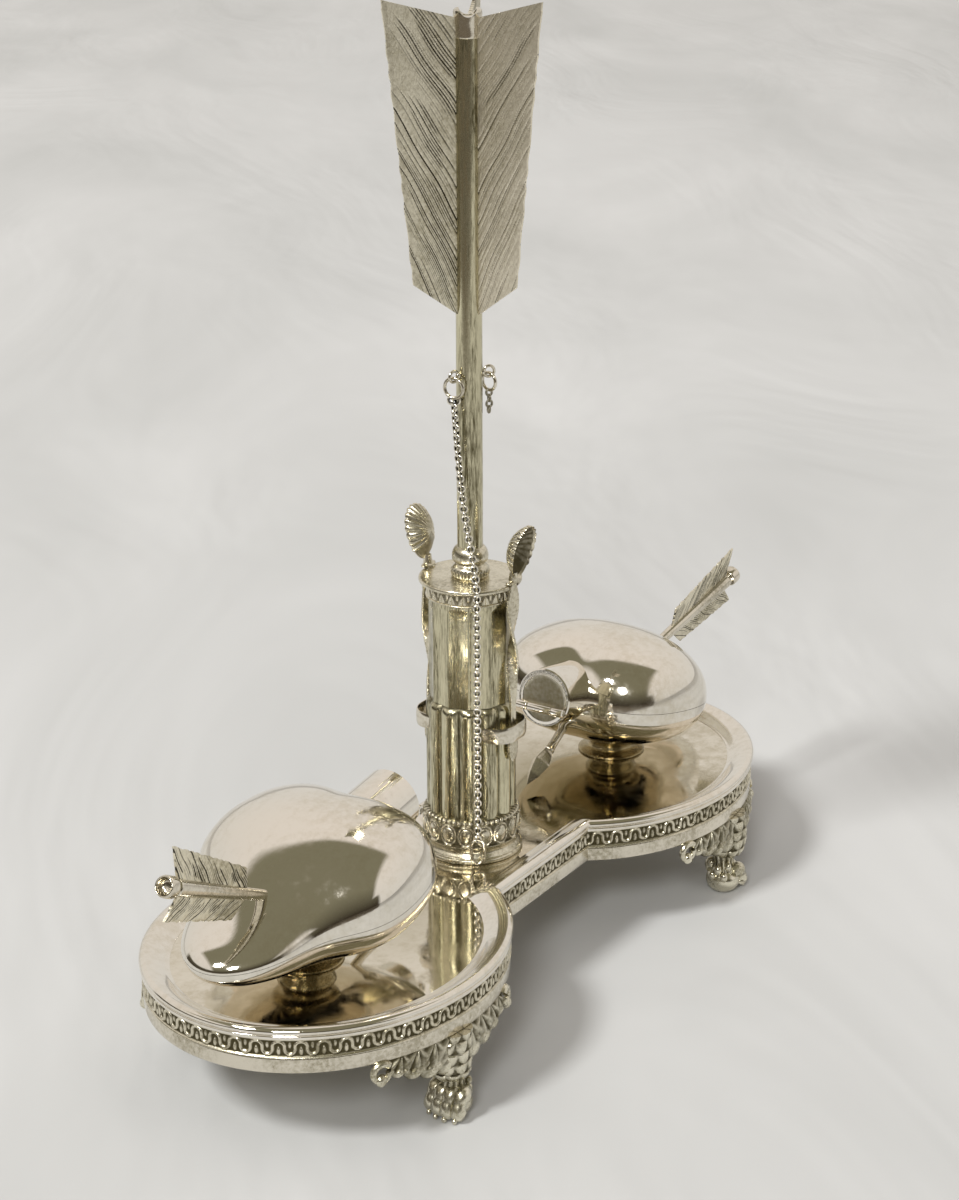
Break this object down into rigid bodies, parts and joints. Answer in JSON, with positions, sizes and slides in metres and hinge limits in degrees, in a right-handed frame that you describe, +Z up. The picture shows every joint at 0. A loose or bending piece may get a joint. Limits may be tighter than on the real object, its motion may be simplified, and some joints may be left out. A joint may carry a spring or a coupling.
{
  "type": "desk inkstand",
  "caption": "Silver desk inkstand: hinged heart boxes pierced by arrows beside a quiver with a tall upright arrow, shell spoons and a hanging chain, on a footed waisted base.",
  "frame": {"origin": "centre of the base at the resting plane of the feet", "axes": "+X along the two lobes of the base towards the right heart, +Y across it towards the far side, +Z up"},
  "size_m": [0.3098, 0.1062, 0.296],
  "materials": {
    "polished_silver": "polished, lightly tarnished",
    "mirror_silver": "mirror polished",
    "tarnished_silver": "satin, dark in the recesses",
    "engraved_silver": "engraved, satin",
    "gilt_silver": "washed with gilt inside",
    "clear_glass": "clear, polished"
  },
  "bodies": {
    "stand": {"top_plate": "mirror_silver", "rim_moulding": "polished_silver", "frieze_strip": "tarnished_silver", "lower_band": "polished_silver", "foot_left_near": "polished_silver", "foot_right_near": "polished_silver", "foot_left_far": "polished_silver", "foot_right_far": "polished_silver", "leaf_spray_left_near": "tarnished_silver", "leaf_spray_right_near": "tarnished_silver", "leaf_spray_left_far": "tarnished_silver", "leaf_spray_right_far": "tarnished_silver", "quiver_foot": "polished_silver", "quiver_sheath": "polished_silver", "quiver_tube": "polished_silver", "quiver_cap": "mirror_silver", "quiver_nut": "tarnished_silver", "spoon_strap_near": "polished_silver", "spoon_strap_far": "polished_silver", "arrow_collar": "polished_silver", "arrow_shaft": "polished_silver", "arrow_nock": "polished_silver", "arrow_vane_left": "engraved_silver", "arrow_vane_right": "engraved_silver", "arrow_vane_back": "engraved_silver", "chain_lug_left": "polished_silver", "chain_lug_right": "polished_silver", "left_heart_foot": "polished_silver", "left_heart_nut": "tarnished_silver", "left_heart_bowl": "mirror_silver", "left_hinge_pin": "tarnished_silver", "left_arrowhead": "polished_silver", "left_well_plate": "gilt_silver", "left_ink_glass": "clear_glass", "right_heart_foot": "polished_silver", "right_heart_nut": "tarnished_silver", "right_heart_bowl": "mirror_silver", "right_hinge_pin": "tarnished_silver", "right_arrowhead": "polished_silver", "right_well_plate": "gilt_silver", "right_sand_glass": "clear_glass"},
    "hanging_chain": {"chain_ring_left": "polished_silver", "long_chain": "tarnished_silver", "chain_end_clip": "tarnished_silver"},
    "broken_chain": {"chain_ring_right": "polished_silver", "short_chain": "tarnished_silver"},
    "near_spoon": {"spoon_near_bowl": "polished_silver", "spoon_near_stem": "polished_silver"},
    "far_spoon": {"spoon_far_bowl": "polished_silver", "spoon_far_stem": "polished_silver"},
    "left_lid": {"left_heart_lid": "mirror_silver", "left_lid_arrow_shaft": "polished_silver", "left_lid_arrow_vanes": "engraved_silver"},
    "right_lid": {"right_heart_lid": "mirror_silver", "right_lid_arrow_shaft": "polished_silver", "right_lid_arrow_vanes": "engraved_silver"}
  },
  "joints": [
    {"name": "left_lid_hinge", "type": "hinge", "parent": "stand", "child": "left_lid", "pos_m": [-0.04051, 0, 0.06746], "axis": [0, 1, 0], "range_deg": [0, 75]},
    {"name": "right_lid_hinge", "type": "hinge", "parent": "stand", "child": "right_lid", "pos_m": [0.04072, 0, 0.06884], "axis": [0, -1, 0], "range_deg": [0, 75]},
    {"name": "near_spoon_lift", "type": "slide", "parent": "stand", "child": "near_spoon", "axis": [0, 0, 1], "range_m": [0, 0.055]},
    {"name": "far_spoon_lift", "type": "slide", "parent": "stand", "child": "far_spoon", "axis": [0, 0, 1], "range_m": [0, 0.055]},
    {"name": "hanging_chain_swing", "type": "hinge", "parent": "stand", "child": "hanging_chain", "pos_m": [-0.00584, 0.00157, 0.18805], "axis": [-0.6293, 0.7771, 0], "range_deg": [0, 20]},
    {"name": "broken_chain_swing", "type": "hinge", "parent": "stand", "child": "broken_chain", "pos_m": [0.00477, -0.00373, 0.18805], "axis": [-0.6157, -0.788, 0], "range_deg": [-4, 30]}
  ]
}
